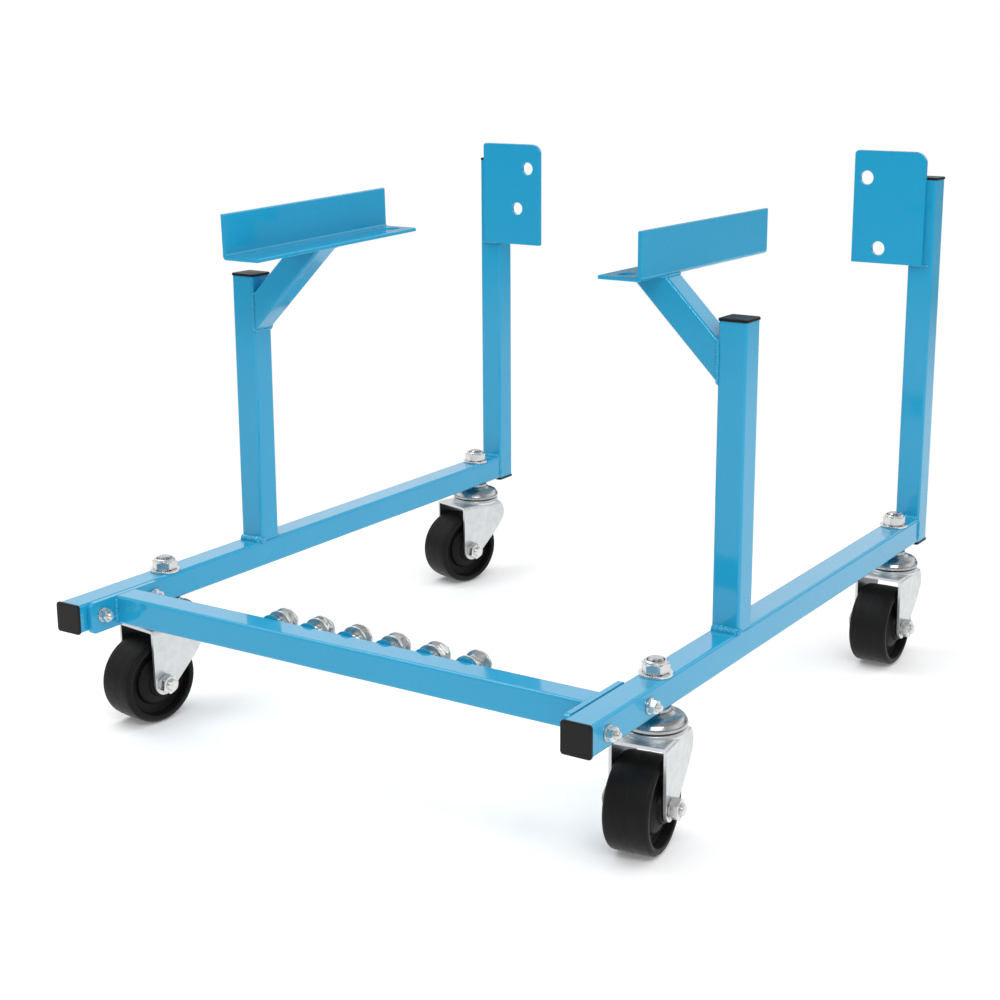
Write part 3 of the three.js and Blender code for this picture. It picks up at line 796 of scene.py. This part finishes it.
# ------------------------------------------------------------------ cross-beam
beam = Shape(tube(-EP_IN, EP_IN), ALONG_X((0, BEAM_Y, RAIL_Z + T / 2)))
yb = BEAM_Y + T / 2
beam = carved(beam, [Shape(cyl(6.25, yb - 6, yb + 4), ALONG_Y((x, 0, STOW_Z))) for x in STOW_X])
for x in STOW_X:
    boss = fillet([(6.25, yb - 0.6), (12.4, yb - 0.6), (11.0, yb + 0.5), (10.6, yb + 1.8), (6.25, yb + 1.8)], [0, 0.3, 1.0, 0.5, 0.3], 5)
    beam.add(turned(boss + [boss[0]], 56), ALONG_Y((x, 0, STOW_Z)))
piece("beam_tube", beam, "stand_frame", BLUE, "cross_beam")


def washer(r, bore, z0, z1, seg=48):
    p = fillet([(bore, z0), (r, z0), (r, z1), (bore, z1)], 0.35, 3)
    return turned(p + [p[0]], seg)


for side, sx in (("left", -1), ("right", 1)):
    e0, e1 = mmbox("beam_end_plate_" + side)
    outer = rect(e1[1] - e0[1], e1[2] - e0[2], 5.2, 8, BEAM_Y, END_Z)
    p = plate([outer] + [circle(3.5, 36, BEAM_Y + d, BEAM_Z) for d in BEAM_BOLT.values()], e0[0], e1[0], 0.55, 4)
    piece("end_plate_" + side, Shape(p, ALONG_X()), "stand_frame", BLUE, "beam_end_plate_" + side)
    xin = sx * EP_IN
    W = Shape()
    for q in (-1, 1):
        W.add(bead([(xin, BEAM_Y + q * T / 2, RAIL_Z + 2.0), (xin, BEAM_Y + q * T / 2, RAIL_Z + T - 2.0)], 2.0, seed=2.1 * sx + q))
    W.add(bead([(xin, BEAM_Y - T / 2 + 2, RAIL_Z + 0.3), (xin, BEAM_Y + T / 2 - 2, RAIL_Z + 0.3)], 1.5, seed=9.1 * sx))
    piece("weld_beam_" + side, W, "stand_frame", WELD)
    for w_, d in BEAM_BOLT.items():
        xa, xb = (EP_IN, RAIL_X + T / 2) if sx > 0 else (-RAIL_X - T / 2, -EP_IN)
        s = Shape(cyl(3.0, xa - 2, xb + 1.0, 32))
        s.add(hexagon(10.2, xa - 5.5, xa - 1.62, 0.25, 0, True, False))
        s.add(cyl(3.02, xa - 3, xa - 1.2, 32))
        s.add(washer(6.5, 3.1, xa - 1.6, xa - 0.05))
        s.add(washer(6.5, 3.1, xb + 0.05, xb + 1.6))
        s.add(hexagon(10.2, xb + 1.62, xb + 7.2, 0.1 if d < 0 else 0.7, 2.8))
        s.add(thread(2.95, xb + 0.6, xb + 10.9, 1.0, 0.5, 36, 0.8))
        piece("bolt_beam_%s_%s" % (side, w_), Shape(s, ALONG_X((0, BEAM_Y + d, BEAM_Z))), "stand_frame", ZINC,
              "beam_bolt_%s_%s" % (side, w_), bevel=0.16)

STOW_W = (8.9, 10.6, 10.6, 8.4, 7.4, 1.95)      # where each loose washer sits along its bolt
for i, x in enumerate(STOW_X):
    tw = 0.35 * i
    w_ = yb + STOW_W[i]
    s = Shape(thread(5.95, yb - 13.6, yb + 13.6, 1.75, 0.85, 40, 1.0))
    s.add(washer(12.7, 6.2, w_ + 0.02, w_ + 1.98, 56))
    s.add(hexagon(18, yb + 12.7, yb + 17.65, tw, 5.5))
    s.add(washer(12.9, 6.0, yb + 17.7, yb + 19.4, 56))
    s.add(hexagon(18, yb + 19.42, yb + 24.85, tw + 0.4, 0, False, True))
    piece("bolt_stowed_%d" % (i + 1), Shape(s, ALONG_Y((x, 0, STOW_Z))), "stand_frame", ZINC, "stowed_bolt_%d" % (i + 1), bevel=0.16)

# ------------------------------------------------------------------ casters
W_OUT, FT, TRAIL = 24.0, 2.6, None
Z0 = RAIL_Z
for key in ("fl", "fr", "rl", "rr"):
    sw, ro = joints["swivel_" + key], joints["roll_" + key]
    cx, cy = sw["pos_m"][0] * 1000, sw["pos_m"][1] * 1000
    wx, wy = ro["pos_m"][0] * 1000, ro["pos_m"][1] * 1000
    TRAIL = math.hypot(wx - cx, wy - cy)
    th = math.atan2(wy - cy, wx - cx)
    turn = Matrix.Translation((cx, cy, 0)) @ Matrix.Rotation(th, 4, "Z")
    fixed = Matrix.Translation((cx, cy, 0))

    # raceway cup, collar, king pin and stem
    cup = fillet([(7.2, Z0 - 15.2), (25.2, Z0 - 15.2), (26.3, Z0 - 14.5), (26.1, Z0 - 12.0), (23.6, Z0 - 7.6), (16.4, Z0 - 5.0), (14.0, Z0 - 3.0), (12.8, Z0 - 2.6),
                  (12.8, Z0 - 0.1), (6.6, Z0 - 0.1), (6.6, Z0 - 14.0)], [0, 0.3, 0.6, 4.0, 6.0, 2.2, 0.8, 0.3, 0.7, 0, 0], 6)
    s = Shape(turned(cup + [cup[0]], 72))
    pin = fillet([(0, Z0 - 25.8), (9.4, Z0 - 25.8), (9.6, Z0 - 22.9), (7.1, Z0 - 22.9), (7.1, Z0 - 12), (0, Z0 - 12)], [0, 1.6, 0.3, 0, 0, 0], 5, False)
    s.add(turned(pin, 48))
    s.add(cyl(6.65, Z0 - 13, Z0 + T + 1.0, 40))
    s.add(thread(6.6, Z0 + T - 2, Z0 + T + 13.9, 1.75, 0.85, 44, 1.3))
    piece("caster_%s_cup_and_stem" % key, s, "stand_frame", CUP, "caster_%s_stem" % key, M=fixed)

    # washer and lock nut
    s = Shape(washer(13.6, 7.0, Z0 + T + 0.05, Z0 + T + 2.15, 64))
    rot = 0.3 + 0.5 * hash01(cx, cy)
    s.add(hexagon(20.0, Z0 + T + 2.2, Z0 + T + 10.3, rot, 6.9, True, True, 10))
    col = fillet([(7.3, Z0 + T + 9.2), (9.6, Z0 + T + 9.2), (9.4, Z0 + T + 11.5), (8.2, Z0 + T + 12.6), (7.3, Z0 + T + 12.3)], [0, 0.2, 0.7, 0.8, 0.3], 4)
    s.add(turned(col + [col[0]], 56))
    piece("caster_%s_lock_nut" % key, s, "stand_frame", ZINC, "caster_%s_nut" % key, M=fixed, bevel=0.22)

    # fork: one bent sheet, the dish for the balls pressed up in its top
    top = Z0 - 19.4
    rb = 4.0
    arc_r = 11.3
    back = [(AX_Z - 7.95, TRAIL - 8.03), (Z0 - 59.8, -4.9), (Z0 - 53.5, -11.2), (Z0 - 48.6, -15.6), (Z0 - 42.6, -20.4), (Z0 - 39.4, -22.2), (Z0 - 36.6, -23.0), (Z0 - 33.0, -23.3), (Z0 - 30.0, -22.8), (Z0 - 27.0, -21.6), (top - rb, -19.6)]
    bz, bx = [q[0] for q in back], [q[1] for q in back]

    def span(z):
        dz = AX_Z - z
        if dz > 0:
            hw = math.sqrt(max(0.0, arc_r ** 2 - dz ** 2))
            hi_x = TRAIL + hw
        else:
            hi_x = TRAIL + arc_r + (-dz) / (Z0 - 21 - AX_Z) * 0.7
            hw = arc_r
        lo_x = TRAIL - hw if z < bz[0] else float(np.interp(z, bz, bx))
        return lo_x, hi_x

    rows = []          # (n, z, normal n, normal z, x range)
    leg_z = [AX_Z - arc_r * math.sin(math.radians(d)) for d in (85, 80, 74, 67, 60, 52, 44, 35, 25, 12)]
    leg_z += list(np.linspace(AX_Z, top - rb, 26))
    for z in leg_z:
        rows.append((W_OUT, z, 1.0, 0.0, span(z)))
    for kk in range(1, 7):
        an = kk / 6 * PI / 2
        nn, zz = W_OUT - rb + rb * math.cos(an), top - rb + rb * math.sin(an)
        back_x = -19.6 + 5.0 * (kk / 6) ** 1.3
        rows.append((nn, zz, math.cos(an), math.sin(an), (back_x, TRAIL + arc_r + 0.7 + 0.15 * kk)))
    for nn in np.linspace(W_OUT - rb, -(W_OUT - rb), 25)[1:-1]:
        back_x = -math.sqrt(max(0.0, 24.6 ** 2 - nn ** 2)) - 0.4
        rows.append((nn, top, 0.0, 1.0, (back_x, TRAIL + arc_r + 1.6)))
    rows += [(-q[0], q[1], -q[2], q[3], q[4]) for q in rows[:len(leg_z) + 6][::-1]]
    nx = 22
    A, B = [], []
    for (nn, zz, an, az, (x0, x1)) in rows:
        for i in range(nx + 1):
            t_ = i / nx
            x = x0 + (x1 - x0) * t_
            A.append((x, nn, zz))
            B.append((x, nn - an * FT, zz - az * FT))
    R_, C_ = len(rows), nx + 1
    off = len(A)
    faces = []
    for r in range(R_ - 1):
        for c in range(nx):
            q = (r * C_ + c, r * C_ + c + 1, (r + 1) * C_ + c + 1, (r + 1) * C_ + c)
            faces.append(q)
            faces.append(tuple(off + k_ for k_ in q[::-1]))
        for c in (0, nx):
            faces.append((r * C_ + c, (r + 1) * C_ + c, off + (r + 1) * C_ + c, off + r * C_ + c))
    for r in (0, R_ - 1):
        for c in range(nx):
            faces.append((r * C_ + c, r * C_ + c + 1, off + r * C_ + c + 1, off + r * C_ + c))
    sheet = Shape((A + B, faces))
    sheet = carved(sheet, [Shape(cyl(5.4, -40, 40, 32), axes((TRAIL, 0, AX_Z), (1, 0, 0), (0, 0, 1), (0, 1, 0))),
                           Shape(cyl(7.9, Z0 - 30, Z0 - 10, 40))])
    dish = fillet([(7.9, top - 2.0), (25.6, top - 2.0), (26.2, top + 0.4), (25.6, top + 2.8), (24.0, top + 3.2), (21.6, top + 2.4), (20.4, top + 0.8), (7.9, top + 0.8)],
                  [0, 0.3, 1.6, 1.6, 1.4, 1.2, 0.8, 0.2], 6)
    sheet.add(turned(dish + [dish[0]], 72))
    piece("caster_%s_fork_sheet" % key, sheet, "fork_" + key, SATIN, "caster_%s_fork" % key, M=turn, bevel=0.45, bseg=3)

    # axle bolt and nut
    s = Shape(cyl(5.0, -W_OUT - 4, W_OUT + 1, 32))
    s.add(hexagon(16, -W_OUT - 7.0, -W_OUT - 0.25, 0.2, 0, True, False))
    s.add(hexagon(16, W_OUT + 0.25, W_OUT + 8.4, 0.45, 4.75))
    s.add(thread(4.95, W_OUT + 0.5, W_OUT + 11.4, 1.5, 0.75, 36, 1.0))
    piece("caster_%s_axle_bolt" % key, Shape(s, axes((0, 0, 0), (1, 0, 0), (0, 1, 0), (0, 0, 1))), "fork_" + key, ZINC, "caster_%s_axle" % key,
          M=turn @ Matrix.Translation((TRAIL, 0, AX_Z)) @ Matrix.Rotation(-PI / 2, 4, "X"), bevel=0.18)
    sl = fillet([(5.4, -21.15), (7.6, -21.15), (7.6, 21.15), (5.4, 21.15)], 0.3, 3)
    piece("caster_%s_bearing_sleeve" % key, Shape(turned(sl + [sl[0]], 40)), "fork_" + key, SLEEVE, "caster_%s_sleeve" % key,
          M=turn @ Matrix.Translation((TRAIL, 0, AX_Z)) @ Matrix.Rotation(-PI / 2, 4, "X"))

    # wheel
    R, H = WHEEL_R, 18.0
    half = [(8.3, 20.4), (13.2, 20.4), (14.4, 17.2), (20.8, 14.6), (22.6, 13.2), (23.0, 9.8), (31.2, 9.8), (32.6, 18.2), (33.4, 19.0), (36.4, 19.2), (39.0, 17.0), (39.5, 11.0), (39.62, 1.0), (39.74, 0.35)]
    rad = [0.4, 0.9, 1.0, 0.8, 1.2, 1.2, 1.6, 0.5, 0.5, 3.0, 3.4, 6.0, 0.2, 0.1]
    prof = half + [(r, -z) for r, z in half[::-1]]
    prof = fillet(prof, rad + rad[::-1], 6)
    piece("caster_%s_wheel_tyre" % key, Shape(turned(prof + [prof[0]], 112)), "wheel_" + key, WHEEL, "caster_%s_wheel" % key,
          M=turn @ Matrix.Translation((TRAIL, 0, AX_Z)) @ Matrix.Rotation(-PI / 2, 4, "X"))

# ------------------------------------------------------------------ floor, light, camera
YS = CAD_BOX[0][1]                      # front face of the stand
fm = Mat("pale_floor")
fm.set("Base Color", fm.mix(fm.remap(fm.noise(3.0, 2.0, 0.5), 0.3, 0.7, 0, 1), (0.93, 0.93, 0.93), (0.95, 0.95, 0.95)))
fm.set("Roughness", 0.75)
fm.set("Specular IOR Level", 0.15)
fm.set("Emission Color", (1.0, 1.0, 1.0))
fm.set("Emission Strength", 0.12)
fs = node(fm.nt, "ShaderNodeSeparateXYZ")
fm.link(fm.co, fs.inputs[0])
rad_ = fm.math("SQRT", fm.math("ADD", fm.math("MULTIPLY", fs.outputs[0], fs.outputs[0]), fm.math("MULTIPLY", fs.outputs[1], fs.outputs[1])), 0.0)
flp = node(fm.nt, "ShaderNodeLightPath")
far = node(fm.nt, "ShaderNodeEmission")                # the sweep burns out to white away from the stand
far.inputs["Strength"].default_value = 1.0
gl = node(fm.nt, "ShaderNodeEmission")                 # what the paint mirrors: a lit disc in a darker room
fm.link(fm.remap(rad_, 1.6, 3.0, 1.04, 0.26), gl.inputs["Strength"])
mx1, mx2 = node(fm.nt, "ShaderNodeMixShader"), node(fm.nt, "ShaderNodeMixShader")
fm.link(fm.math("MULTIPLY", flp.outputs["Is Camera Ray"], fm.remap(rad_, 0.50, 0.95, 0.0, 1.0)), mx1.inputs[0])
fm.link(fm.b.outputs[0], mx1.inputs[1])
fm.link(far.outputs[0], mx1.inputs[2])
fm.link(flp.outputs["Is Glossy Ray"], mx2.inputs[0])
fm.link(mx1.outputs[0], mx2.inputs[1])
fm.link(gl.outputs[0], mx2.inputs[2])
fm.link(mx2.outputs[0], fm.nt.nodes["Material Output"].inputs["Surface"])
me = bpy.data.meshes.new("floor")
ring_ = [(3.4 * math.cos(2 * PI * i / 96), 3.4 * math.sin(2 * PI * i / 96), -0.0005) for i in range(96)]
me.from_pydata(ring_, [], [tuple(range(96))])
floor = bpy.data.objects.new("floor", me)
floor.data.materials.append(fm.m)
bpy.context.scene.collection.objects.link(floor)

world = bpy.data.worlds.new("studio")
bpy.context.scene.world = world
world.use_nodes = True
nt = world.node_tree
bg = nt.nodes["Background"]
tc = node(nt, "ShaderNodeTexCoord")
sep = node(nt, "ShaderNodeSeparateXYZ")
nt.links.new(tc.outputs["Generated"], sep.inputs[0])


def wmath(op, a, b=0.0, clamp=False):
    n = node(nt, "ShaderNodeMath", operation=op)
    n.use_clamp = clamp
    for i, x in ((0, a), (1, b)):
        if hasattr(x, "links"):
            nt.links.new(x, n.inputs[i])
        else:
            n.inputs[i].default_value = x
    return n.outputs[0]


CAM_H = Vector((0.521, -0.853, 0)).normalized()      # horizontal direction towards the camera
ex, ey, ez = sep.outputs[0], sep.outputs[1], sep.outputs[2]
toward = wmath("ADD", wmath("MULTIPLY", ex, CAM_H.x), wmath("MULTIPLY", ey, CAM_H.y))
dark = wmath("MULTIPLY", wmath("SUBTRACT", toward, 0.10), 1.4, True)             # the room behind the camera
rise = wmath("MULTIPLY", wmath("SUBTRACT", ez, 0.11), 7.5, True)                 # lit backdrop above a dark horizon
ceil = wmath("MULTIPLY", wmath("SUBTRACT", ez, 0.46), 4.0, True)                 # unlit ceiling
low = wmath("MULTIPLY", wmath("MULTIPLY", ez, -9.0, True), 0.28)
level = wmath("ADD", 0.05, wmath("MULTIPLY", rise, 1.13))
level = wmath("ADD", wmath("MULTIPLY", level, wmath("SUBTRACT", 1.0, ceil)), wmath("MULTIPLY", ceil, 0.38))
level = wmath("MULTIPLY", level, wmath("SUBTRACT", 1.0, wmath("MULTIPLY", dark, 0.72)))
level = wmath("ADD", level, low)
fill = wmath("ADD", 0.43, wmath("MULTIPLY", ex, 0.57))
fill = wmath("ADD", fill, wmath("MULTIPLY", wmath("MAXIMUM", ez, 0.0), 0.62))
fill = wmath("MAXIMUM", fill, 0.20)
lp = node(nt, "ShaderNodeLightPath")
isg, isc = lp.outputs["Is Glossy Ray"], lp.outputs["Is Camera Ray"]
soft = wmath("ADD", wmath("MULTIPLY", level, isg), wmath("MULTIPLY", fill, wmath("SUBTRACT", 1.0, isg)))
mixv = wmath("ADD", isc, wmath("MULTIPLY", soft, wmath("SUBTRACT", 1.0, isc)))
nt.links.new(mixv, bg.inputs["Strength"])
bg.inputs["Color"].default_value = (1, 1, 1, 1)


def area(name, loc, target, size, power, color=(1, 1, 1)):
    d = bpy.data.lights.new(name, "AREA")
    d.shape, d.size, d.size_y, d.energy, d.color = "RECTANGLE", size[0], size[1], power, color
    o = bpy.data.objects.new(name, d)
    bpy.context.scene.collection.objects.link(o)
    o.location = loc
    o.rotation_mode = "QUATERNION"
    o.rotation_quaternion = (Vector(target) - Vector(loc)).to_track_quat("-Z", "Y")
    return o


mid = (0, 0, 0.2)
area("overhead", (-1.0, -0.55, 2.15), mid, (1.25, 1.25), 18)
area("key", (1.35, -1.75, 1.95), mid, (1.7, 0.42), 20)

cam = bpy.data.cameras.new("camera")
co = bpy.data.objects.new("camera", cam)
bpy.context.scene.collection.objects.link(co)
cam.sensor_width = 36
cam.sensor_fit = "HORIZONTAL"
cam.lens = 63.186
cam.shift_x, cam.shift_y = -0.0621, -0.0429
cam.clip_start, cam.clip_end = 0.05, 60
d = Vector((-0.50756099, 0.82999061, -0.23129511)).normalized()
r_ = Vector((0.85270236, 0.52238626, 0.00336038)).normalized()
r_ = (r_ - d * r_.dot(d)).normalized()
u_ = r_.cross(d).normalized()
co.matrix_world = Matrix(((r_.x, u_.x, -d.x, 0.8688), (r_.y, u_.y, -d.y, -1.0177 + YS), (r_.z, u_.z, -d.z, 0.5053 + RAIL_Z * S), (0, 0, 0, 1)))
bpy.context.scene.camera = co
bpy.context.scene.view_settings.view_transform = "Standard"
bpy.context.scene.view_settings.look = "None"
